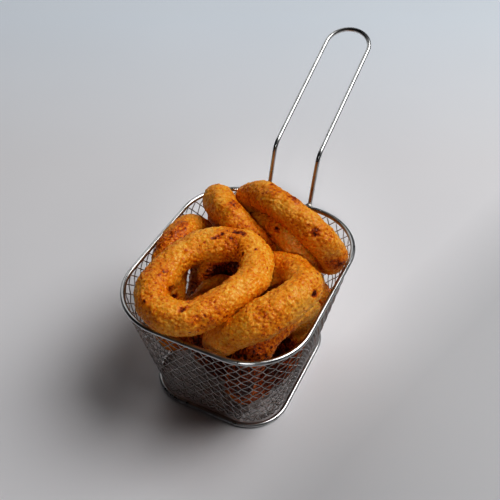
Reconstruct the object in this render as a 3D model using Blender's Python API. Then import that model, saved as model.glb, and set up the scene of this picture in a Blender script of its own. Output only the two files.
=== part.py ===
"""Onion rings heaped in a small wire serving basket with a looped wire handle.

The origin lies on the ground under the middle of the whole object. +Z is up and +Y points
from the basket towards the end of the handle.
"""
import math
import random

import bpy
from mathutils import Matrix, Vector
from mathutils.bvhtree import BVHTree

MM = 0.001

# The basket: a rounded rectangle that narrows from the rim wire to the foot wire
RIM_LENGTH = 90 * MM
RIM_DEPTH = 106 * MM
RIM_CORNER = 28.5 * MM
RIM_HEIGHT = 67 * MM
RIM_WIRE = 2.4 * MM
FOOT_LENGTH = 69 * MM
FOOT_DEPTH = 81 * MM
FOOT_CORNER = 20 * MM
FOOT_WIRE = 2.4 * MM
MESH_THICKNESS = 1.0 * MM
MESH_EDGE_RADIUS = 3.5 * MM
MESH_BOTTOM = 1.8 * MM
MESH_INSIDE_FOOT = 0.8 * MM

# The handle: one bent wire, welded to the back of the rim and closed by a half round end
HANDLE_WIRE = 2.2 * MM
HANDLE_WIDTH = 23.5 * MM
HANDLE_TAIL = 14 * MM
HANDLE_BEND_OUT = 10 * MM
HANDLE_BEND_HEIGHT = 93 * MM
HANDLE_END_OUT = 86 * MM
HANDLE_END_HEIGHT = 124 * MM
HANDLE_BEND_RADIUS = 9 * MM

# Gaps that keep touching pieces apart, and what the facets between two points may take
TOUCH_GAP = 0.3 * MM
PRESS_GAP = 0.75 * MM

ARC_STEPS = 8
WIRE_SIDES_RESOLUTION = 3
RING_STEPS = 36
RING_SIDES = 12
PRESS_ROUNDS = 24

# The top ring reaches a little over the front of the rim, and the handle is the back end
TOP_RING_REACH = 58.1 * MM
HANDLE_REACH = RIM_DEPTH / 2 + HANDLE_END_OUT + HANDLE_WIRE / 2
BASKET_MIDDLE = Vector((0, (TOP_RING_REACH - HANDLE_REACH) / 2, 0))

# Every onion ring in millimetres and degrees: its middle from the middle of the basket, how
# far it leans and towards which side, how far it is turned in its own plane, its two half
# widths, its thickness and how much it is bent out of its plane. One ring is thicker on one
# side, by the share that "uneven" gives.
RINGS = {
    "ring_rear_floor": dict(middle=(0, 2, 21), lean=33, towards=162, turn=249,
                            half=(23, 21.5), thick=13.6, bend=0),
    "ring_front_low": dict(middle=(-1, -11, 33), lean=46, towards=4, turn=139,
                           half=(20, 19.5), thick=13.6, bend=0),
    "ring_right_wall": dict(middle=(25, -16, 36), lean=100, towards=343, turn=349,
                            half=(26.5, 23.5), thick=14.6, bend=0),
    "ring_left_back": dict(middle=(-28, -5, 47), lean=82, towards=6, turn=325,
                           half=(26, 23.5), thick=17.6, bend=0),
    "ring_back_low": dict(middle=(13, 25, 53), lean=70, towards=70, turn=65,
                          half=(26.5, 22.5), thick=13.8, bend=4),
    "ring_middle": dict(middle=(-11, 22, 59), lean=78, towards=58, turn=330,
                        half=(24.5, 25), thick=15, bend=3),
    "ring_back": dict(middle=(12, 30, 72), lean=63, towards=72, turn=326,
                      half=(26.5, 22), thick=14.6, bend=-1),
    "ring_right_front": dict(middle=(18, -20, 69), lean=41, towards=184, turn=113,
                             half=(20, 23), thick=15.6, bend=3, uneven=0.08, thickest=205),
    "ring_front": dict(middle=(-5, -26, 80), lean=6, towards=221, turn=67,
                       half=(25.5, 18), thick=15.4, bend=0),
}


def clear_scene():
    for thing in list(bpy.data.objects):
        bpy.data.objects.remove(thing, do_unlink=True)


def make_material(name, colour, roughness, metallic):
    material = bpy.data.materials.new(name)
    material.use_nodes = True
    shader = material.node_tree.nodes["Principled BSDF"]
    shader.inputs["Base Color"].default_value = (*colour, 1.0)
    shader.inputs["Roughness"].default_value = roughness
    shader.inputs["Metallic"].default_value = metallic
    return material


def add_mesh(name, points, faces, material):
    mesh = bpy.data.meshes.new(name)
    mesh.from_pydata([tuple(point) for point in points], [], faces)
    mesh.validate()
    mesh.materials.append(material)
    mesh.shade_smooth()
    piece = bpy.data.objects.new(name, mesh)
    piece.location = BASKET_MIDDLE
    bpy.context.collection.objects.link(piece)
    return piece


def add_wire(name, points, diameter, closed, material):
    curve = bpy.data.curves.new(name, "CURVE")
    curve.dimensions = "3D"
    curve.bevel_depth = diameter / 2
    curve.bevel_resolution = WIRE_SIDES_RESOLUTION
    curve.use_fill_caps = not closed
    spline = curve.splines.new("POLY")
    spline.points.add(len(points) - 1)
    for spline_point, point in zip(spline.points, points):
        spline_point.co = (*point, 1.0)
    spline.use_cyclic_u = closed
    curve.materials.append(material)
    piece = bpy.data.objects.new(name, curve)
    piece.location = BASKET_MIDDLE
    bpy.context.collection.objects.link(piece)
    return piece


# Outlines

def rounded_outline(length, depth, corner, height):
    """Points of a rounded rectangle, anticlockwise from the +X side."""
    points = []
    middles = ((1, -1, -90), (1, 1, 0), (-1, 1, 90), (-1, -1, 180))
    for side_x, side_y, start in middles:
        centre = Vector((side_x * (length / 2 - corner), side_y * (depth / 2 - corner), height))
        for step in range(ARC_STEPS + 1):
            angle = math.radians(start + 90 * step / ARC_STEPS)
            points.append(centre + corner * Vector((math.cos(angle), math.sin(angle), 0)))
    return points


def outside_by(point, length, depth, corner):
    """Distance of a point outside a rounded rectangle, negative inside it."""
    over_x = abs(point.x) - (length / 2 - corner)
    over_y = abs(point.y) - (depth / 2 - corner)
    beyond = math.hypot(max(over_x, 0), max(over_y, 0))
    return beyond + min(max(over_x, over_y), 0) - corner


def way_in(point, length, depth, corner):
    """Level direction from a point straight towards the inside of a rounded rectangle."""
    over_x = abs(point.x) - (length / 2 - corner)
    over_y = abs(point.y) - (depth / 2 - corner)
    if over_x > 0 and over_y > 0:
        way = Vector((-over_x * math.copysign(1, point.x), -over_y * math.copysign(1, point.y), 0))
        return way.normalized()
    if over_x > over_y:
        return Vector((-math.copysign(1, point.x), 0, 0))
    return Vector((0, -math.copysign(1, point.y), 0))


def wall_at(height):
    """Length, depth and corner radius of the middle of the mesh wall at a height."""
    wall_foot = MESH_BOTTOM + MESH_EDGE_RADIUS
    down = (RIM_HEIGHT - height) / (RIM_HEIGHT - wall_foot)
    down = min(max(down, 0), 1)
    length = RIM_LENGTH + (FOOT_LENGTH - 2 * MESH_INSIDE_FOOT - RIM_LENGTH) * down
    depth = RIM_DEPTH + (FOOT_DEPTH - 2 * MESH_INSIDE_FOOT - RIM_DEPTH) * down
    corner = RIM_CORNER + (FOOT_CORNER - MESH_INSIDE_FOOT - RIM_CORNER) * down
    return length, depth, corner


# Basket wires and mesh

def add_basket(steel, mesh_steel):
    rim = rounded_outline(RIM_LENGTH, RIM_DEPTH, RIM_CORNER, RIM_HEIGHT)
    add_wire("rim_wire", rim, RIM_WIRE, True, steel)
    foot = rounded_outline(FOOT_LENGTH, FOOT_DEPTH, FOOT_CORNER, FOOT_WIRE / 2)
    add_wire("foot_wire", foot, FOOT_WIRE, True, steel)

    # Rows of the mesh sheet: the wall, the rounded edge under it and the flat bottom
    top = RIM_HEIGHT - RIM_WIRE / 2 - TOUCH_GAP
    rows = [rounded_outline(*wall_at(top), top)]
    length, depth, corner = wall_at(0)
    edge_steps = 4
    for step in range(edge_steps + 1):
        angle = math.radians(90 * step / edge_steps)
        inset = MESH_EDGE_RADIUS * (1 - math.cos(angle))
        height = MESH_BOTTOM + MESH_EDGE_RADIUS * (1 - math.sin(angle))
        rows.append(rounded_outline(length - 2 * inset, depth - 2 * inset, corner - inset, height))
    count = len(rows[0])
    points = [point for row in rows for point in row]
    faces = []
    for row in range(len(rows) - 1):
        for column in range(count):
            after = (column + 1) % count
            faces.append((row * count + after, row * count + column,
                          (row + 1) * count + column, (row + 1) * count + after))
    last_row = (len(rows) - 1) * count
    faces.append(tuple(last_row + column for column in reversed(range(count))))
    mesh_piece = add_mesh("wire_mesh", points, faces, mesh_steel)
    shell = mesh_piece.modifiers.new("Thickness", "SOLIDIFY")
    shell.thickness = MESH_THICKNESS
    shell.offset = 0
    shell.use_even_offset = True


# Handle

def rounded_corner(before, corner, after, radius):
    """Points of an arc that rounds the corner between two straight stretches."""
    to_before = (before - corner).normalized()
    to_after = (after - corner).normalized()
    half = to_before.angle(to_after) / 2
    reach = radius / math.tan(half)
    centre = corner + (to_before + to_after).normalized() * radius / math.sin(half)
    start = corner + to_before * reach - centre
    turn_axis = start.cross(corner + to_after * reach - centre).normalized()
    sweep = math.pi - 2 * half
    steps = 5
    return [centre + Matrix.Rotation(sweep * step / steps, 3, turn_axis) @ start
            for step in range(steps + 1)]


def add_handle(steel):
    rim_back = RIM_DEPTH / 2
    beside_rim = RIM_WIRE / 2 + HANDLE_WIRE / 2 + TOUCH_GAP
    # The tail follows the slope of the back wall
    tail_depth = wall_at(RIM_HEIGHT - HANDLE_TAIL)[1] / 2
    tail = Vector((0, tail_depth + beside_rim, RIM_HEIGHT - HANDLE_TAIL))
    at_rim = Vector((0, rim_back + beside_rim, RIM_HEIGHT))
    bend = Vector((0, rim_back + HANDLE_BEND_OUT, HANDLE_BEND_HEIGHT))
    end = Vector((0, rim_back + HANDLE_END_OUT, HANDLE_END_HEIGHT))
    along = (end - bend).normalized()
    leg = [tail]
    leg += rounded_corner(tail, at_rim, bend, HANDLE_BEND_RADIUS)
    leg += rounded_corner(at_rim, bend, end, HANDLE_BEND_RADIUS)
    half_width = Vector((HANDLE_WIDTH / 2, 0, 0))
    end_centre = end - along * HANDLE_WIDTH / 2
    loop = []
    loop_steps = 14
    for step in range(loop_steps + 1):
        angle = math.pi * step / loop_steps
        loop.append(end_centre + half_width * math.cos(angle)
                    + along * HANDLE_WIDTH / 2 * math.sin(angle))
    points = [point + half_width for point in leg]
    points += loop
    points += [point - half_width for point in reversed(leg)]
    add_wire("handle_wire", points, HANDLE_WIRE, False, steel)


# Onion rings

def make_ring(ring, seed):
    """Points of one uneven ring, row by row around its middle."""
    chance = random.Random(seed)
    waves = []
    for along, across, size in ((2, 0, 0.04), (3, 0, 0.04), (5, 0, 0.025),
                                (2, 1, 0.03), (3, 1, 0.03), (4, 2, 0.03), (6, 1, 0.02)):
        waves.append((along, across, size * chance.uniform(0.6, 1.2), chance.uniform(0, math.tau)))
    wobble = [(k, chance.uniform(0.2, 0.6) * MM, chance.uniform(0, math.tau)) for k in (3, 4, 5)]
    lean_axis = Matrix.Rotation(math.radians(ring["towards"]), 3, "Z") @ Vector((0, 1, 0))
    pose = Matrix.Rotation(math.radians(ring["lean"]), 3, lean_axis)
    pose = pose @ Matrix.Rotation(math.radians(ring["turn"]), 3, "Z")
    middle = Vector(ring["middle"]) * MM
    half_a, half_b = (value * MM for value in ring["half"])
    radius = ring["thick"] * MM / 2
    uneven, thickest = ring.get("uneven", 0), math.radians(ring.get("thickest", 0))
    points = []
    for step in range(RING_STEPS):
        turn = math.tau * step / RING_STEPS
        grow = sum(size * math.cos(k * turn + phase) for k, size, phase in wobble)
        centre = Vector(((half_a + grow) * math.cos(turn), (half_b + grow) * math.sin(turn),
                         ring["bend"] * MM * math.cos(2 * turn)))
        outward = Vector((half_b * math.cos(turn), half_a * math.sin(turn), 0)).normalized()
        for side in range(RING_SIDES):
            around = math.tau * side / RING_SIDES
            swell = 1 + uneven * math.cos(turn - thickest)
            swell += sum(size * math.cos(k * turn + m * around + phase)
                         for k, m, size, phase in waves)
            offset = outward * math.cos(around) + Vector((0, 0, 1)) * math.sin(around)
            points.append(pose @ (centre + offset * radius * swell) + middle)
    return points


def ring_faces():
    faces = []
    for step in range(RING_STEPS):
        row = step * RING_SIDES
        next_row = (step + 1) % RING_STEPS * RING_SIDES
        for side in range(RING_SIDES):
            next_side = (side + 1) % RING_SIDES
            faces.append((row + side, next_row + side, next_row + next_side, row + next_side))
    return faces


def keep_in_basket(point):
    """Shift that keeps a point of the food clear of the mesh and the rim wire."""
    shift = Vector()
    clear_of_mesh = MESH_THICKNESS / 2 + PRESS_GAP
    lowest = MESH_BOTTOM + clear_of_mesh
    if point.z < lowest:
        shift.z = lowest - point.z
    wall = wall_at(point.z)
    if point.z < RIM_HEIGHT:
        edge_height = MESH_BOTTOM + MESH_EDGE_RADIUS - point.z
        round_off = 0
        if edge_height > 0:
            edge_height = min(edge_height, MESH_EDGE_RADIUS)
            round_off = MESH_EDGE_RADIUS - math.sqrt(MESH_EDGE_RADIUS ** 2 - edge_height ** 2)
        too_far = outside_by(point, *wall) + clear_of_mesh + round_off
        if too_far > 0:
            shift += way_in(point, *wall) * too_far
    from_rim = outside_by(point, RIM_LENGTH, RIM_DEPTH, RIM_CORNER)
    above_rim = point.z - RIM_HEIGHT
    distance = math.hypot(from_rim, above_rim)
    too_near = RIM_WIRE / 2 + PRESS_GAP - distance
    if above_rim > 0 and too_near > 0:
        inward = way_in(point, RIM_LENGTH, RIM_DEPTH, RIM_CORNER)
        away = inward * -from_rim + Vector((0, 0, above_rim))
        shift += away / distance * too_near
    return shift


def clear_of_basket(points, faces):
    """Moves corners, then the middles of edges and faces, off the mesh and the rim wire."""
    points = [point + keep_in_basket(point) for point in points]
    for corner, next_one, across, below in faces:
        for group in ((corner, next_one), (corner, below), (corner, next_one, across, below)):
            middle = sum((points[index] for index in group), Vector()) / len(group)
            shift = keep_in_basket(middle)
            for index in group:
                points[index] = points[index] + shift
    return points


def smooth_shifts(shifts):
    """Each shift shared with its four neighbours, so that a ring gives way softly."""
    result = []
    for step in range(RING_STEPS):
        for side in range(RING_SIDES):
            own = shifts[step * RING_SIDES + side]
            beside = (shifts[(step - 1) % RING_STEPS * RING_SIDES + side]
                      + shifts[(step + 1) % RING_STEPS * RING_SIDES + side]
                      + shifts[step * RING_SIDES + (side - 1) % RING_SIDES]
                      + shifts[step * RING_SIDES + (side + 1) % RING_SIDES]) / 4
            result.append(own * 0.75 + beside * 0.5)
    return result


def press_together(rings, faces):
    """Rings that would overlap give way to each other and to the basket."""
    names = list(rings)
    for _ in range(PRESS_ROUNDS):
        trees = {name: BVHTree.FromPolygons(rings[name], faces) for name in names}
        moved = {}
        for name in names:
            shifts = []
            for point in rings[name]:
                shift = Vector()
                for other in names:
                    if other == name:
                        continue
                    nearest, normal, _, _ = trees[other].find_nearest(point, 9 * MM)
                    if nearest is None:
                        continue
                    clear = (point - nearest).dot(normal)
                    if clear < PRESS_GAP:
                        shift += normal * (PRESS_GAP - clear) / 2
                shifts.append(shift)
            moved[name] = smooth_shifts(shifts)
        for name in names:
            points = [point + shift for point, shift in zip(rings[name], moved[name])]
            rings[name] = clear_of_basket(points, faces)


def add_rings():
    rings = {name: make_ring(ring, seed) for seed, (name, ring) in enumerate(RINGS.items())}
    faces = ring_faces()
    press_together(rings, faces)
    for name, points in rings.items():
        crust = make_material(name + "_crust", (0.62, 0.25, 0.035), 0.55, 0.0)
        add_mesh(name, points, faces, crust)


clear_scene()
bright_steel = make_material("bright_steel", (0.62, 0.62, 0.63), 0.2, 1.0)
mesh_steel = make_material("mesh_steel", (0.5, 0.5, 0.51), 0.35, 1.0)
add_basket(bright_steel, mesh_steel)
add_handle(bright_steel)
add_rings()
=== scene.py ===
"""Looks of a heap of fried onion rings in a mini wire serving basket.

Lengths are metres. The basket's middle is the middle of its rim, seen from above.
"""
import math

import bmesh
import bpy
from mathutils import Matrix, Vector, noise
from mathutils.bvhtree import BVHTree


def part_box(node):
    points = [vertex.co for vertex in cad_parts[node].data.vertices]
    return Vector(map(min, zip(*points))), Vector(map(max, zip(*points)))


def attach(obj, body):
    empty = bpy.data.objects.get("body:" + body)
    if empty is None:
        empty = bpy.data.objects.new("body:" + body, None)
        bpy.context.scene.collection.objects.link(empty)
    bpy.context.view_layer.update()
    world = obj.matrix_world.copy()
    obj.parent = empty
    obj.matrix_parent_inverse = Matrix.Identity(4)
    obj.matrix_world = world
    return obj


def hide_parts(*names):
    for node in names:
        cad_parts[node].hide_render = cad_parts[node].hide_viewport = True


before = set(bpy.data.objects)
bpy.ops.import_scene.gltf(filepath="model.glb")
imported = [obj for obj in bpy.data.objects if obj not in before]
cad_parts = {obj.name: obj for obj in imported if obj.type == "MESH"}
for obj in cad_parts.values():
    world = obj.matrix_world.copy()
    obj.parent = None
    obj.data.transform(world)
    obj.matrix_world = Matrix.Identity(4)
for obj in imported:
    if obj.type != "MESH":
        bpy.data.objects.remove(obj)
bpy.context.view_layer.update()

MM = 0.001

# Foot wire
# A loop of stainless spring wire that the basket stands on. It is bent to a rounded rectangle
# round a former, its ends are butt welded, and like all the wires it is polished bright.

FOOT_WIRE = 2.4 * MM
FOOT_CORNER = 20 * MM
SMEAR_WIDTH = 6 * MM
MARK_WIDTH = 0.5 * MM
MARK_DEPTH = 0.05 * MM


def linear(hex_colour):
    """Linear colour of an sRGB hex value such as C9C9CB."""
    channels = [int(hex_colour[index:index + 2], 16) / 255 for index in (0, 2, 4)]
    return (*(c / 12.92 if c < 0.04045 else ((c + 0.055) / 1.055) ** 2.4 for c in channels), 1)


def add_node(tree, kind, settings=None, links=None):
    """Adds a shader node. Settings are its values or its inputs' values, links feed its inputs."""
    node = tree.nodes.new(kind)
    for name, value in (settings or {}).items():
        if isinstance(name, str) and hasattr(node, name):
            setattr(node, name, value)
        else:
            node.inputs[name].default_value = value
    for name, socket in (links or {}).items():
        tree.links.new(socket, node.inputs[name])
    return node


def add_ramp(tree, factor, stops):
    """Colour ramp whose stops are pairs of a place and a hex colour."""
    ramp = add_node(tree, "ShaderNodeValToRGB", links={"Fac": factor})
    elements = ramp.color_ramp.elements
    while len(elements) < len(stops):
        elements.new(0.5)
    for element, (place, colour) in zip(elements, stops):
        element.position = place
        element.color = linear(colour)
    return ramp.outputs["Color"]


def new_material(name):
    """A material, its node tree, its shader and the place on the object, which is in metres."""
    material = bpy.data.materials.new(name)
    material.use_nodes = True
    tree = material.node_tree
    shader = tree.nodes["Principled BSDF"]
    place = add_node(tree, "ShaderNodeTexCoord").outputs["Object"]
    return material, tree, shader, place


# Bright polished stainless: a near mirror with faint drawing marks and wiped smears, which
# breaks the white of the lamps into clean bands along each wire. Real drawing marks are too
# fine to show, so they are drawn half a millimetre wide
polished_stainless, tree, shader, place = new_material("polished_stainless")
smears = add_node(tree, "ShaderNodeTexNoise", {"Scale": 1 / SMEAR_WIDTH, "Detail": 4},
                  {"Vector": place})
tone = add_ramp(tree, smears.outputs["Fac"], [(0.3, "B9B8B7"), (0.7, "D6D6D6")])
rough = add_node(tree, "ShaderNodeMapRange", {"To Min": 0.2, "To Max": 0.38},
                 {"Value": smears.outputs["Fac"]})
marks = add_node(tree, "ShaderNodeTexNoise", {"Scale": 1 / MARK_WIDTH, "Detail": 3},
                 {"Vector": place})
bump = add_node(tree, "ShaderNodeBump", {"Strength": 0.05, "Distance": MARK_DEPTH},
                {"Height": marks.outputs["Fac"]})
tree.links.new(tone, shader.inputs["Base Color"])
tree.links.new(rough.outputs["Result"], shader.inputs["Roughness"])
tree.links.new(bump.outputs["Normal"], shader.inputs["Normal"])
shader.inputs["Metallic"].default_value = 1.0


def add_wires(name, paths, diameter, closed, material, side_steps):
    """Round wires along lists of points, as one curve object."""
    curve = bpy.data.curves.new(name, "CURVE")
    curve.dimensions = "3D"
    curve.bevel_depth = diameter / 2
    curve.bevel_resolution = side_steps
    curve.use_fill_caps = not closed
    for points in paths:
        spline = curve.splines.new("POLY")
        spline.points.add(len(points) - 1)
        for spline_point, point in zip(spline.points, points):
            spline_point.co = (*point, 1.0)
        spline.use_cyclic_u = closed
    curve.materials.append(material)
    piece = bpy.data.objects.new(name, curve)
    bpy.context.collection.objects.link(piece)
    return piece


def outline_point(share, length, depth, corner):
    """Point of a rounded rectangle about its own middle, its share of the way round.

    Straight sides and corners keep the same shares at every size, from the +X side on.
    """
    straight_x, straight_y, arc = 0.1, 0.15, 0.125
    stretches = []
    for side in range(4):
        stretches.append(("side", side, straight_y if side % 2 == 0 else straight_x))
        stretches.append(("corner", side, arc))
    share = (share + straight_y / 2) % 1.0
    for kind, side, width in stretches:
        if share <= width:
            break
        share -= width
    along = min(share / width, 1.0)
    half_x, half_y = length / 2 - corner, depth / 2 - corner
    corners = [Vector((half_x, -half_y)), Vector((half_x, half_y)),
               Vector((-half_x, half_y)), Vector((-half_x, -half_y))]
    start, end = corners[side], corners[(side + 1) % 4]
    turn = math.radians(90 * side)
    if kind == "corner":
        turn += math.radians(90) * along
        start = end
    middle = start.lerp(end, along)
    return middle + corner * Vector((math.cos(turn), math.sin(turn)))


foot_low, foot_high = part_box("foot_wire")
rim_low, rim_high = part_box("rim_wire")
basket_middle = (rim_low + rim_high) / 2
foot_length = foot_high.x - foot_low.x - FOOT_WIRE
foot_depth = foot_high.y - foot_low.y - FOOT_WIRE


def loop_points(length, depth, corner, height, steps=160):
    """Points of a level rounded rectangle round the basket's middle."""
    points = []
    for step in range(steps):
        flat = outline_point(step / steps, length, depth, corner)
        points.append(Vector((basket_middle.x + flat.x, basket_middle.y + flat.y, height)))
    return points


foot = add_wires("foot_loop", [loop_points(foot_length, foot_depth, FOOT_CORNER, FOOT_WIRE / 2)],
                 FOOT_WIRE, closed=True, material=polished_stainless, side_steps=6)
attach(foot, "root")
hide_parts("foot_wire")

# Woven mesh
# Stainless wire cloth, 0.5 mm wire at a 4.3 mm pitch, cut on the bias so that it shows upright
# diamonds. It is pressed to a tapered tub with a rounded lower edge and a flat woven bottom.

MESH_WIRE = 0.5 * MM
MESH_SHEET = 1.0 * MM
DIAMONDS_ROUND = 60
DIAMONDS_HIGH = 9
MESH_EDGE_RADIUS = 3.5 * MM
MESH_EDGE_SHARE = 0.06
MESH_BOTTOM_PITCH = 4.4 * MM
MESH_INSIDE_FOOT = 0.8 * MM
STEPS_PER_CROSSING = 4
RIM_WIRE = 2.4 * MM
RIM_CORNER = 28.5 * MM
DULLING_WIDTH = 4 * MM

# A wire bends out of the cloth by a little over half its thickness where it passes over another
WEAVE_RISE = MESH_WIRE * 0.52

mesh_low, mesh_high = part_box("wire_mesh")
wall_top = mesh_high.z
wall_bottom = mesh_low.z + MESH_SHEET / 2
rim_length = rim_high.x - rim_low.x - RIM_WIRE
rim_depth = rim_high.y - rim_low.y - RIM_WIRE

# Drawn wire cloth: duller than the frame wires and greyer in patches, so that it reads as fine
# grey lines
wire_cloth_stainless, tree, shader, place = new_material("wire_cloth_stainless")
dulling = add_node(tree, "ShaderNodeTexNoise", {"Scale": 1 / DULLING_WIDTH, "Detail": 3},
                   {"Vector": place})
tone = add_ramp(tree, dulling.outputs["Fac"], [(0.3, "ABAAA9"), (0.7, "D0CFCF")])
rough = add_node(tree, "ShaderNodeMapRange", {"To Min": 0.3, "To Max": 0.5},
                 {"Value": dulling.outputs["Fac"]})
tree.links.new(tone, shader.inputs["Base Color"])
tree.links.new(rough.outputs["Result"], shader.inputs["Roughness"])
shader.inputs["Metallic"].default_value = 1.0


def wall_point(share, height_share):
    """Point and outward direction of the mesh wall, 0 under the rounded edge and 1 at the rim."""
    edge_top = wall_bottom + MESH_EDGE_RADIUS
    if height_share < MESH_EDGE_SHARE:
        angle = math.radians(90 * (1 - height_share / MESH_EDGE_SHARE))
        height = edge_top - MESH_EDGE_RADIUS * math.sin(angle)
        inset = MESH_EDGE_RADIUS * (1 - math.cos(angle))
        up = 0
        outward_z = -math.sin(angle)
    else:
        up = (height_share - MESH_EDGE_SHARE) / (1 - MESH_EDGE_SHARE)
        height = edge_top + (wall_top - edge_top) * up
        inset = 0
        outward_z = 0
    narrow_length = foot_length - 2 * MESH_INSIDE_FOOT
    narrow_depth = foot_depth - 2 * MESH_INSIDE_FOOT
    length = narrow_length + (rim_length - narrow_length) * up - 2 * inset
    depth = narrow_depth + (rim_depth - narrow_depth) * up - 2 * inset
    corner = FOOT_CORNER - MESH_INSIDE_FOOT
    corner += (RIM_CORNER - corner) * up - inset
    flat = outline_point(share, length, depth, corner)
    ahead = outline_point(share + 0.001, length, depth, corner) - flat
    outward = Vector((ahead.y, -ahead.x, 0)).normalized()
    outward = (outward * math.sqrt(1 - outward_z ** 2) + Vector((0, 0, outward_z))).normalized()
    return Vector((basket_middle.x + flat.x, basket_middle.y + flat.y, height)), outward


def wall_wires():
    """Two families of slanting wires, each over and under the other by turns."""
    paths = []
    crossings = 2 * DIAMONDS_HIGH
    for lean in (1, -1):
        for wire in range(DIAMONDS_ROUND):
            points = []
            for step in range(crossings * STEPS_PER_CROSSING + 1):
                crossing = step / STEPS_PER_CROSSING
                height_share = crossing / crossings
                share = (wire + lean * crossing / 2) / DIAMONDS_ROUND
                point, outward = wall_point(share % 1.0, height_share)
                points.append(point + outward * lean * WEAVE_RISE * math.cos(math.pi * crossing))
            paths.append(points)
    return paths


def bottom_wires():
    """The flat bottom: two families at 45 degrees, cut off at the rounded edge."""
    paths = []
    length = foot_length - 2 * MESH_INSIDE_FOOT - 2 * MESH_EDGE_RADIUS
    depth = foot_depth - 2 * MESH_INSIDE_FOOT - 2 * MESH_EDGE_RADIUS
    corner = FOOT_CORNER - MESH_INSIDE_FOOT - MESH_EDGE_RADIUS
    reach = (length + depth) / 2
    count = int(reach / MESH_BOTTOM_PITCH)
    slant = math.sqrt(0.5)
    for lean in (1, -1):
        along = Vector((slant, lean * slant))
        across = Vector((-lean * slant, slant))
        for wire in range(-count, count + 1):
            points = []
            for step in range(-count * STEPS_PER_CROSSING, count * STEPS_PER_CROSSING + 1):
                crossing = step / STEPS_PER_CROSSING
                flat = across * wire * MESH_BOTTOM_PITCH + along * crossing * MESH_BOTTOM_PITCH
                over_x = max(abs(flat.x) - (length / 2 - corner), 0)
                over_y = max(abs(flat.y) - (depth / 2 - corner), 0)
                if math.hypot(over_x, over_y) < corner + MESH_WIRE:
                    rise = lean * WEAVE_RISE * math.cos(math.pi * crossing) * (-1) ** wire
                    points.append(Vector((basket_middle.x + flat.x, basket_middle.y + flat.y,
                                          wall_bottom + rise)))
            if len(points) > 2:
                paths.append(points)
    return paths


basket_mesh = add_wires("woven_mesh", wall_wires() + bottom_wires(), MESH_WIRE, closed=False,
                        material=wire_cloth_stainless, side_steps=1)
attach(basket_mesh, "root")
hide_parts("wire_mesh")

# Rim wire
# The heavier top loop that the cut edge of the mesh is spot welded under. It is bent and butt
# welded like the foot, and takes all the knocks.

rim = add_wires("rim_loop", [loop_points(rim_length, rim_depth, RIM_CORNER, basket_middle.z)],
                RIM_WIRE, closed=True, material=polished_stainless, side_steps=6)
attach(rim, "root")
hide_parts("rim_wire")

# Handle
# One length of 2.2 mm stainless wire bent to a long narrow loop. Its two legs turn down at a
# bend and are welded to the outside of the rim and of the back wall.

HANDLE_WIRE = 2.2 * MM
HANDLE_TAIL = 14 * MM
HANDLE_BEND_OUT = 10 * MM
HANDLE_BEND_HEIGHT = 93 * MM
HANDLE_BEND_RADIUS = 9 * MM
HANDLE_LOOP_STEPS = 40
TOUCH_GAP = 0.3 * MM

handle_low, handle_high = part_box("handle_wire")
handle_width = handle_high.x - handle_low.x - HANDLE_WIRE
rim_height = basket_middle.z


def rounded_corner(before, corner, after, radius, steps=10):
    """Points of an arc that rounds the corner between two straight stretches."""
    to_before = (before - corner).normalized()
    to_after = (after - corner).normalized()
    half = to_before.angle(to_after) / 2
    reach = radius / math.tan(half)
    centre = corner + (to_before + to_after).normalized() * radius / math.sin(half)
    start = corner + to_before * reach - centre
    turn_axis = start.cross(corner + to_after * reach - centre).normalized()
    sweep = math.pi - 2 * half
    return [centre + Matrix.Rotation(sweep * step / steps, 3, turn_axis) @ start
            for step in range(steps + 1)]


def handle_points():
    """The handle's wire from the end of one leg, round the loop, to the end of the other."""
    beside_rim = RIM_WIRE / 2 + HANDLE_WIRE / 2 + TOUCH_GAP
    rim_back = basket_middle.y + rim_depth / 2
    slope = (rim_depth - foot_depth) / 2 / (rim_height - FOOT_WIRE / 2)
    tail = Vector((0, rim_back + beside_rim - slope * HANDLE_TAIL, rim_height - HANDLE_TAIL))
    at_rim = Vector((0, rim_back + beside_rim, rim_height))
    bend = Vector((0, rim_back + HANDLE_BEND_OUT, HANDLE_BEND_HEIGHT))
    end = Vector((0, handle_high.y - HANDLE_WIRE / 2, handle_high.z - HANDLE_WIRE / 2))
    along = (end - bend).normalized()
    leg = [tail]
    leg += rounded_corner(tail, at_rim, bend, HANDLE_BEND_RADIUS)
    leg += rounded_corner(at_rim, bend, end, HANDLE_BEND_RADIUS)
    half_width = Vector((handle_width / 2, 0, 0))
    end_centre = end - along * handle_width / 2
    turns = [math.pi * step / HANDLE_LOOP_STEPS for step in range(HANDLE_LOOP_STEPS + 1)]
    loop = [end_centre + half_width * math.cos(turn) + along * handle_width / 2 * math.sin(turn)
            for turn in turns]
    points = [point + half_width for point in leg] + loop
    return points + [point - half_width for point in reversed(leg)]


handle = add_wires("handle_loop", [handle_points()], HANDLE_WIRE, closed=False,
                   material=polished_stainless, side_steps=6)
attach(handle, "root")
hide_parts("handle_wire")

# Welds
# Small beads where the handle's two legs were pressed on the back of the rim and fused to it.
# They are of the wires' own steel, pitted a little, and dulled to straw by the heat.

WELD_HALF_SIZE = Vector((1.9, 1.3, 1.6)) * MM
WELD_PIT_WIDTH = 0.9 * MM
WELD_PIT_DEPTH = 0.2 * MM
HEAT_TINT_WIDTH = 1.5 * MM

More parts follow.
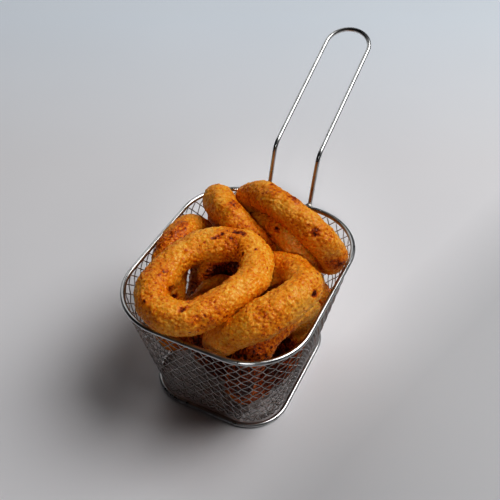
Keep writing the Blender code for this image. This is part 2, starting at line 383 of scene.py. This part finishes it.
# Heat dulled stainless: rougher and darker than the polished wire, in patches of straw and grey
heat_dulled_stainless, tree, shader, place = new_material("heat_dulled_stainless")
tints = add_node(tree, "ShaderNodeTexNoise", {"Scale": 1 / HEAT_TINT_WIDTH, "Detail": 3},
                 {"Vector": place})
tone = add_ramp(tree, tints.outputs["Fac"], [(0.35, "8F8880"), (0.65, "B8B4AE")])
rough = add_node(tree, "ShaderNodeMapRange", {"To Min": 0.3, "To Max": 0.5},
                 {"Value": tints.outputs["Fac"]})
tree.links.new(tone, shader.inputs["Base Color"])
tree.links.new(rough.outputs["Result"], shader.inputs["Roughness"])
shader.inputs["Metallic"].default_value = 1.0

weld_y = basket_middle.y + rim_depth / 2 + (RIM_WIRE + TOUCH_GAP) / 2
beads = bmesh.new()
for side in (-1, 1):
    contact = Vector((basket_middle.x + side * handle_width / 2, weld_y, rim_height))
    shape = Matrix.Translation(contact) @ Matrix.Diagonal((*WELD_HALF_SIZE, 1))
    bead = bmesh.ops.create_icosphere(beads, subdivisions=4, radius=1, matrix=shape)
    for vertex in bead["verts"]:
        outward = (vertex.co - contact).normalized()
        vertex.co += outward * noise.noise(vertex.co / WELD_PIT_WIDTH) * WELD_PIT_DEPTH
welds_mesh = bpy.data.meshes.new("handle_welds")
beads.to_mesh(welds_mesh)
beads.free()
welds_mesh.materials.append(heat_dulled_stainless)
welds_mesh.shade_smooth()
welds = bpy.data.objects.new("handle_welds", welds_mesh)
bpy.context.collection.objects.link(welds)
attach(welds, "root")

# Onion rings
# Thick slices of onion, dipped in batter, rolled in fine crumb and deep fried to a crisp golden
# crust. The fry lifts the crust in lumps, breaks it in places and browns its high spots, and low
# in the heap the crust is darkened with painted shade.

# How each ring's solid is rounded and meshed again, and how much the crust adds to it
SEAM_GAP = 0.05 * MM
ROUNDING_LEVELS = 2
FINE_VOXEL = 0.46 * MM
CRUST_GROWTH = 0.15 * MM

# Relief of the crust. The crumb middle is the mean distance from a crumb, so that crumbs as a
# whole neither swell nor shrink a ring, and crags open only where the crust is patchy
PATCH_WIDTH = 13 * MM
LUMP_WIDTH = 8 * MM
LUMP_RISE = 0.9 * MM
SWELL_WIDTH = 3.6 * MM
SWELL_RISE = 0.3 * MM
CRAG_WIDTH = 5 * MM
CRAG_DEPTH = 0.2 * MM
CRAG_SHARPNESS = 5
CRAG_SPREAD = 0.25
TATTER_WIDTH = 1.7 * MM
TATTER_RISE = 0.3 * MM
CRUMB_WIDTH = 1.3 * MM
CRUMB_RISE = 0.8 * MM
CRUMB_MIDDLE = 0.55

# Browning by the fry, with painted shade and painted light mixed in, from 0 where the crust is
# palest to DARKEST where it is burnt
EVEN_BROWNING = 0.25
PATCH_BROWNING = 0.3
# Painted shade in the sunken crags
CRAG_PAINTED_SHADE = 0.15
# Painted light on the crumb tops and painted shade in the gaps between the crumbs
CRUMB_PAINTED_SHADING = 0.15
TATTER_BROWNING = 0.12
BURNT_WIDTH = 2 * MM
BURNT_FROM = 0.5
BURNT_BROWNING = 2.5
# Painted shade: the crust darkens below this height, fully at this depth under it
LOW_SHADE_TOP = 60 * MM
LOW_SHADE_DEPTH = 35 * MM
LOW_PAINTED_SHADE = 0.35
DARKEST = 1.3

# A spot reaches this many of its radii and fades over its edge, whose outline is ragged
SPOT_REACH = 1.5
SPOT_EDGE = 0.8
SPOT_RAGGEDNESS = 0.6

# Where the camera of the photograph stood, from the ground under the basket's middle
CAMERA_PLACE = Vector((107.6, -214.9, 305.1)) * MM
CAMERA_AIM = Vector((0, 9.1, 69.4)) * MM
CAMERA_ROLL = math.radians(0.36)
CAMERA_LENS_MM = 51.55
SENSOR_MM = 36
PHOTO_WIDTH = 500

# Spots that single out a ring in the photograph: the pixel across and down, the spot's radius
# in mm, how much browner it is and how many mm it stands out, or sinks in below 0
CRUST_SPOTS = {
    "front ring, left crack, low end": (214, 238, 0.9, 0.7, -0.5),
    "front ring, left crack, middle": (218, 236, 1.0, 0.7, -0.7),
    "front ring, left crack, high end": (222, 234, 0.8, 0.7, -0.5),
    "front ring, right crack, left end": (236, 231, 1.3, 0.5, -0.3),
    "front ring, right crack, middle": (241, 232, 1.5, 0.7, -0.4),
    "front ring, right crack, right end": (245, 234, 1.1, 0.6, -0.3),
    "front ring, speck between the cracks": (231, 239, 1.0, 0.5, 0),
    "front ring, speck at the far left": (186, 250, 0.9, 0.4, 0),
    "front ring, speck at the left": (166, 271, 1.3, 0.4, 0),
    "front ring, pit inside the hole": (171, 291, 2.2, 0.7, -1.3),
    "left ring, pit seen in the hole": (176, 297, 1.5, 0.7, -0.9),
    "front ring, burnt speck below the hole, left": (182, 309, 1.3, 0.9, -0.4),
    "front ring, burnt speck below the hole, right": (187, 307, 1.1, 0.8, -0.3),
    "front ring, brown patch near the front": (194, 319, 2.2, 0.35, 0),
    "middle ring, browned end": (216, 185, 1.6, 0.5, 0.3),
    "middle ring, browned side": (234, 202, 2.4, 0.4, 0),
    "back ring, burnt top": (273, 185, 1.3, 0.7, 0),
    "back ring, crumb on its side": (296, 200, 2.6, 0.35, 0.2),
    "back ring, dark patch": (316, 232, 2.1, 0.6, -0.2),
    "back ring, crumb at its right end": (342, 262, 1.4, 0.3, 0.4),
    "lower back ring, speck": (277, 230, 1.4, 0.5, 0),
    "right front ring, burnt hole": (316, 294, 1.6, 1.0, -0.6),
    "right wall ring, low inside": (285, 339, 2.0, 0.6, 0),
    "left ring, browned crest": (184, 224, 2.5, 0.3, 0.3),
    "left ring, browned side": (172, 240, 10, 0.4, 0),
    # Painted shade on the inner side of the front ring's top
    "front ring, painted shade on the inner side of the top": (228, 248, 8, 0.25, 0),
    # Painted shade under the hole on the left and middle rings, which also stand out
    "left ring, painted shade under the hole": (217, 270, 5, 0.9, 2.5),
    "middle ring, painted shade under the hole": (232, 270, 5, 0.9, 2.5),
    # Painted light on the front low ring in the hole and on the lower back ring
    "front low ring, painted light in the hole": (208, 286, 8, -0.4, 0),
    "lower back ring, painted light on its side": (290, 236, 5, -0.5, 0),
    "lower back ring, painted light on its right end": (305, 252, 5, -0.5, 0),
    # Painted shade on the right wall ring and the front low ring under the front rim and behind
    # the front mesh
    "right wall ring, painted shade under the front rim, left": (248, 353, 9, 0.3, 0),
    "right wall ring, painted shade under the front rim, right": (268, 350, 9, 0.25, 0),
    "front low ring, painted shade behind the mesh, right": (225, 368, 12, 0.8, 0),
    "front low ring, painted shade behind the mesh, left": (205, 352, 10, 0.6, 0),
    "right wall ring, painted shade behind the front mesh": (245, 385, 12, 0.7, 0),
    "right wall ring, painted shade on the lowest part, left": (268, 372, 12, 0.4, 0),
    "right wall ring, painted shade on the lowest part, right": (287, 360, 10, 0.4, 0),
    # Painted light on the upper and lower sides of the right wall ring
    "right wall ring, painted light on the upper side": (312, 314, 7, -0.6, 0),
    "right wall ring, painted light on the lower side": (301, 331, 7, -0.6, 0),
    "back ring, browned right end": (332, 266, 4, 0.35, 0),
}

# Fried crumb crust: dull and grainy, hardly shiny. Gold where it stayed thin, orange brown where
# it is thick, redder in painted shade between the crumbs and deep brown in burnt specks. The toast
# attribute holds how brown the fry made each spot, together with painted shade in the crags,
# between the crumbs, low in the heap and at listed spots, and painted light on the crumb tops and
# at other listed spots. The finest crumb is drawn half a millimetre wide, coarser than it is, so
# that its grain shows
TONE_PATCH_WIDTH = 11 * MM
TONE_PATCH_SHARE = 0.55
MOTTLE_WIDTH = 1.2 * MM
CRUMB_TONE_WIDTH = 0.8 * MM
CRUMB_TONE_SHARE = 0.25
TOAST_AND_SHADING_DARKENING = 0.6
GRAIN_WIDTH = 0.5 * MM
GRAIN_DEPTH = 0.3 * MM

fried_crumb_crust, tree, shader, place = new_material("fried_crumb_crust")
# Browning of the fry together with painted shade and painted light
toast_and_shading = add_node(tree, "ShaderNodeAttribute", {"attribute_name": "toast_and_shading"}).outputs["Fac"]
patches = add_node(tree, "ShaderNodeTexNoise", {"Scale": 1 / TONE_PATCH_WIDTH, "Detail": 3},
                   {"Vector": place})
mottle = add_node(tree, "ShaderNodeTexNoise",
                  {"Scale": 1 / MOTTLE_WIDTH, "Detail": 4, "Roughness": 0.6}, {"Vector": place})
crumb = add_node(tree, "ShaderNodeTexVoronoi", {"Scale": 1 / CRUMB_TONE_WIDTH}, {"Vector": place})
crumb_tone = add_node(tree, "ShaderNodeSeparateColor", links={"Color": crumb.outputs["Color"]})
blend = add_node(tree, "ShaderNodeMath", {"operation": "MULTIPLY_ADD", 1: TONE_PATCH_SHARE},
                 {0: patches.outputs["Fac"], 2: mottle.outputs["Fac"]})
blend = add_node(tree, "ShaderNodeMath", {"operation": "MULTIPLY_ADD", 1: CRUMB_TONE_SHARE},
                 {0: crumb_tone.outputs["Red"], 2: blend.outputs["Value"]})
blend = add_node(tree, "ShaderNodeMath", {"operation": "MULTIPLY_ADD", 1: -TOAST_AND_SHADING_DARKENING},
                 {0: toast_and_shading, 2: blend.outputs["Value"]})
tone = add_ramp(tree, blend.outputs["Value"],
                [(0.16, "4A1807"), (0.42, "B95910"), (0.60, "DD8719"), (0.76, "E59B2A"),
                 (0.96, "F0B555")])
tree.links.new(tone, shader.inputs["Base Color"])
rough = add_node(tree, "ShaderNodeMapRange", {"To Min": 0.24, "To Max": 0.52},
                 {"Value": crumb_tone.outputs["Green"]})
tree.links.new(rough.outputs["Result"], shader.inputs["Roughness"])
grain = add_node(tree, "ShaderNodeTexNoise", {"Scale": 1 / GRAIN_WIDTH, "Detail": 3},
                 {"Vector": place})
crumb_height = add_node(tree, "ShaderNodeMath", {"operation": "MULTIPLY_ADD", 1: -1.0},
                        {0: crumb.outputs["Distance"], 2: grain.outputs["Fac"]})
bump = add_node(tree, "ShaderNodeBump", {"Strength": 0.5, "Distance": GRAIN_DEPTH},
                {"Height": crumb_height.outputs["Value"]})
tree.links.new(bump.outputs["Normal"], shader.inputs["Normal"])
shader.inputs["Subsurface Weight"].default_value = 0.4
shader.inputs["Subsurface Radius"].default_value = (1.0, 0.4, 0.1)
shader.inputs["Subsurface Scale"].default_value = 3 * MM
shader.inputs["IOR"].default_value = 1.46
shader.inputs["Specular IOR Level"].default_value = 0.5


def crust_relief(point, spots):
    """Rise of the crust over the smooth ring, and how brown it is there from the fry, with painted
    shade and painted light, up to DARKEST.
    """
    patch = noise.noise(point / PATCH_WIDTH + Vector((5, 2, 9)))
    lumps = noise.noise(point / LUMP_WIDTH)
    swells = noise.noise(point / SWELL_WIDTH + Vector((3, 8, 1)))
    tatters = noise.noise(point / TATTER_WIDTH + Vector((1, 6, 4)))
    crack = abs(noise.noise(point / CRAG_WIDTH + Vector((7, 7, 2))) * CRAG_SHARPNESS)
    crags = max(1 - crack, 0) * max(patch + CRAG_SPREAD, 0)
    crumbs = CRUMB_MIDDLE - noise.voronoi(point / CRUMB_WIDTH)[0][0]
    burnt = noise.noise(point / BURNT_WIDTH + Vector((31, 4, 17)))
    rise = lumps * LUMP_RISE + swells * SWELL_RISE + tatters * TATTER_RISE
    rise += crumbs * CRUMB_RISE - crags * CRAG_DEPTH
    # painted shade in the crags
    toast_and_shading = EVEN_BROWNING + PATCH_BROWNING * patch + CRAG_PAINTED_SHADE * crags
    # painted light on the crumb tops, painted shade between the crumbs
    toast_and_shading += TATTER_BROWNING * tatters - CRUMB_PAINTED_SHADING * crumbs
    toast_and_shading += BURNT_BROWNING * max(burnt - BURNT_FROM, 0)
    # painted shade low in the heap
    toast_and_shading += LOW_PAINTED_SHADE * min(max((LOW_SHADE_TOP - point.z) / LOW_SHADE_DEPTH, 0), 1)
    # listed spots add browning, painted shade and painted light
    for place, radius, browning_and_shading, lift in spots:
        apart = (point - place).length / radius * (1 + SPOT_RAGGEDNESS * tatters)
        if apart < SPOT_REACH:
            share = min((SPOT_REACH - apart) / SPOT_EDGE, 1)
            toast_and_shading += browning_and_shading * share
            rise += lift * share
    return rise, min(max(toast_and_shading, 0), DARKEST)


camera_turn = (CAMERA_AIM - CAMERA_PLACE).to_track_quat("-Z", "Y").to_matrix()
camera_turn = camera_turn @ Matrix.Rotation(CAMERA_ROLL, 3, "Z")
camera_point = Vector((basket_middle.x, basket_middle.y, 0)) + CAMERA_PLACE
ring_names = sorted(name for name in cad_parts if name.startswith("ring_"))
ring_trees = {}
for name in ring_names:
    solid_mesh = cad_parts[name].data
    ring_trees[name] = BVHTree.FromPolygons([vertex.co for vertex in solid_mesh.vertices],
                                            [face.vertices for face in solid_mesh.polygons])


def seen_at(across, down):
    """The ring that a pixel of the photograph shows, and the place on it."""
    focal = CAMERA_LENS_MM / SENSOR_MM * PHOTO_WIDTH
    way = Vector(((across - PHOTO_WIDTH / 2) / focal, (PHOTO_WIDTH / 2 - down) / focal, -1))
    way = camera_turn @ way.normalized()
    hits = []
    for name, tree in ring_trees.items():
        place, _, _, distance = tree.ray_cast(camera_point, way)
        if place:
            hits.append((distance, name, place))
    return min(hits)[1:] if hits else (None, None)


spots_on = {name: [] for name in ring_names}
for across, down, radius, browning_and_shading, lift in CRUST_SPOTS.values():
    name, place = seen_at(across, down)
    if name:
        spots_on[name].append((place, radius * MM, browning_and_shading, lift * MM))


def fry_ring(node_name):
    """A crusted ring over the solid of one node."""
    piece_name = "crusted_" + node_name
    piece = bpy.data.objects.new(piece_name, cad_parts[node_name].data.copy())
    bpy.context.collection.objects.link(piece)
    weld = piece.modifiers.new("Weld", "WELD")
    weld.merge_threshold = SEAM_GAP
    rounder = piece.modifiers.new("Rounding", "SUBSURF")
    rounder.levels = rounder.render_levels = ROUNDING_LEVELS
    even = piece.modifiers.new("Even mesh", "REMESH")
    even.mode = "VOXEL"
    even.voxel_size = FINE_VOXEL
    evaluated = piece.evaluated_get(bpy.context.evaluated_depsgraph_get())
    mesh = bpy.data.meshes.new_from_object(evaluated)
    piece.modifiers.clear()
    piece.data = mesh
    mesh.name = piece_name
    toast_and_shading = mesh.attributes.new("toast_and_shading", "FLOAT", "POINT")
    normals = [vertex.normal.copy() for vertex in mesh.vertices]
    for vertex, normal, brown in zip(mesh.vertices, normals, toast_and_shading.data):
        rise, brown.value = crust_relief(vertex.co, spots_on[node_name])
        vertex.co += normal * (CRUST_GROWTH + rise)
    mesh.materials.clear()
    mesh.materials.append(fried_crumb_crust)
    mesh.shade_smooth()
    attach(piece, "root")
    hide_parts(node_name)


for node_name in ring_names:
    fry_ring(node_name)

# Studio
# A pale matt table under one large soft lamp behind the handle's right, a weaker one at its left
# and a narrow one from the front on the food. The camera looks down on the basket's near right
# corner as in the photograph.

TABLE_HALF = 3.0
HAZE_WIDTH = 120 * MM
HAZE_SHARE = 0.15

# Painted shade darkens the table over a stretch towards the right, and a painted bluish reflection
# tints it towards the far left
TOWARDS_RIGHT = (1, -0.3, 0)
SHADE_FROM, SHADE_TO = 45 * MM, 100 * MM
TOWARDS_FAR_LEFT = (-0.5, 1, 0)
REFLECTION_FROM, REFLECTION_TO = 150 * MM, 400 * MM
FAR_LEFT_PAINTED_REFLECTION = (0.975, 1.045, 1.095, 1)

# Soft round lamps: place from the basket's middle, diameter, both in metres, and power in watts
SOFT_LAMPS = {"key": ((0.70, 0.48, 1.23), 1.15, 17.4), "back": ((-1.0, 0.84, 0.75), 1.6, 4.8)}
SOFT_LAMP_COLOUR = (0.99, 1.0, 1.0)

# The narrow lamp on the food: its cone is a little wider than the basket and fades to its edge
FOOD_SPOT_FROM_BASKET = (0.3, -0.85, 0.75)
FOOD_SPOT_AIM = Vector((9, -13, 12)) * MM
FOOD_SPOT_WATTS = 15
FOOD_SPOT_CONE = math.radians(6.2)
FOOD_SPOT_FADE = 0.7
FOOD_SPOT_RADIUS = 0.04
ROOM_GLOW = 0.01

# The photograph's tone curve: it deepens the shadows and holds the lights
TONE_CURVE = ((0.01, 0.0018), (0.05, 0.020), (0.1, 0.056), (0.25, 0.209), (0.45, 0.46),
              (0.7, 0.78))

floor_mesh = bpy.data.meshes.new("floor")
floor_mesh.from_pydata([(-TABLE_HALF, -TABLE_HALF, 0), (TABLE_HALF, -TABLE_HALF, 0),
                        (TABLE_HALF, TABLE_HALF, 0), (-TABLE_HALF, TABLE_HALF, 0)],
                       [], [(0, 1, 2, 3)])
floor = bpy.data.objects.new("floor", floor_mesh)
bpy.context.collection.objects.link(floor)

# Painted table top: matt and even, with a faint haze, a slow drift of its grey in painted shade
# towards the right and a painted bluish reflection towards the far left
painted_table, tree, shader, place = new_material("painted_table")
haze = add_node(tree, "ShaderNodeTexNoise", {"Scale": 1 / HAZE_WIDTH, "Detail": 2},
                {"Vector": place})
towards_right = add_node(tree, "ShaderNodeVectorMath",
                         {"operation": "DOT_PRODUCT", 1: TOWARDS_RIGHT}, {0: place})
# painted shade over a stretch towards the right
painted_shade_to_right = add_node(tree, "ShaderNodeMapRange", {"From Min": SHADE_FROM, "From Max": SHADE_TO},
                   {"Value": towards_right.outputs["Value"]})
haze_and_painted_shade = add_node(tree, "ShaderNodeMath", {"operation": "MULTIPLY_ADD", 1: HAZE_SHARE},
                {0: haze.outputs["Fac"], 2: painted_shade_to_right.outputs["Result"]})
tone = add_ramp(tree, haze_and_painted_shade.outputs["Value"], [(0.05, "E9E7E9"), (1.0, "CECDCF")])
towards_far_left = add_node(tree, "ShaderNodeVectorMath",
                            {"operation": "DOT_PRODUCT", 1: TOWARDS_FAR_LEFT}, {0: place})
# painted bluish reflection towards the far left
painted_reflection_share = add_node(tree, "ShaderNodeMapRange", {"From Min": REFLECTION_FROM, "From Max": REFLECTION_TO},
                  {"Value": towards_far_left.outputs["Value"]})
painted_reflection_tint = add_node(tree, "ShaderNodeMix",
                {"data_type": "RGBA", "blend_type": "MULTIPLY", 7: FAR_LEFT_PAINTED_REFLECTION},
                {0: painted_reflection_share.outputs["Result"], 6: tone})
tree.links.new(painted_reflection_tint.outputs[2], shader.inputs["Base Color"])
shader.inputs["Roughness"].default_value = 0.6
floor_mesh.materials.append(painted_table)


def hang_lamp(light, place, aim):
    """Hangs a lamp at a place and turns it to what it lights."""
    lamp = bpy.data.objects.new(light.name, light)
    lamp.location = place
    lamp.rotation_euler = (aim - place).to_track_quat("-Z", "Y").to_euler()
    bpy.context.collection.objects.link(lamp)


for name, (from_basket, diameter, watts) in SOFT_LAMPS.items():
    light = bpy.data.lights.new(name, "AREA")
    light.shape = "DISK"
    light.size = diameter
    light.energy = watts
    light.color = SOFT_LAMP_COLOUR
    hang_lamp(light, basket_middle + Vector(from_basket), basket_middle)
light = bpy.data.lights.new("food_spot", "SPOT")
light.energy = FOOD_SPOT_WATTS
light.spot_size = FOOD_SPOT_CONE
light.spot_blend = FOOD_SPOT_FADE
light.shadow_soft_size = FOOD_SPOT_RADIUS
hang_lamp(light, basket_middle + Vector(FOOD_SPOT_FROM_BASKET), basket_middle + FOOD_SPOT_AIM)
world = bpy.data.worlds.new("studio")
world.use_nodes = True
world.node_tree.nodes["Background"].inputs["Color"].default_value = linear("EDF2FF")
world.node_tree.nodes["Background"].inputs["Strength"].default_value = ROOM_GLOW
bpy.context.scene.world = world

view = bpy.context.scene.view_settings
view.view_transform = "Standard"
view.use_curve_mapping = True
for lit, shown in TONE_CURVE:
    view.curve_mapping.curves[3].points.new(lit, shown)
view.curve_mapping.update()

camera_data = bpy.data.cameras.new("camera")
camera_data.lens = CAMERA_LENS_MM
camera_data.sensor_width = SENSOR_MM
camera_data.clip_start = 10 * MM
camera = bpy.data.objects.new("camera", camera_data)
camera.location = camera_point
camera.rotation_euler = camera_turn.to_euler()
bpy.context.collection.objects.link(camera)
bpy.context.scene.camera = camera
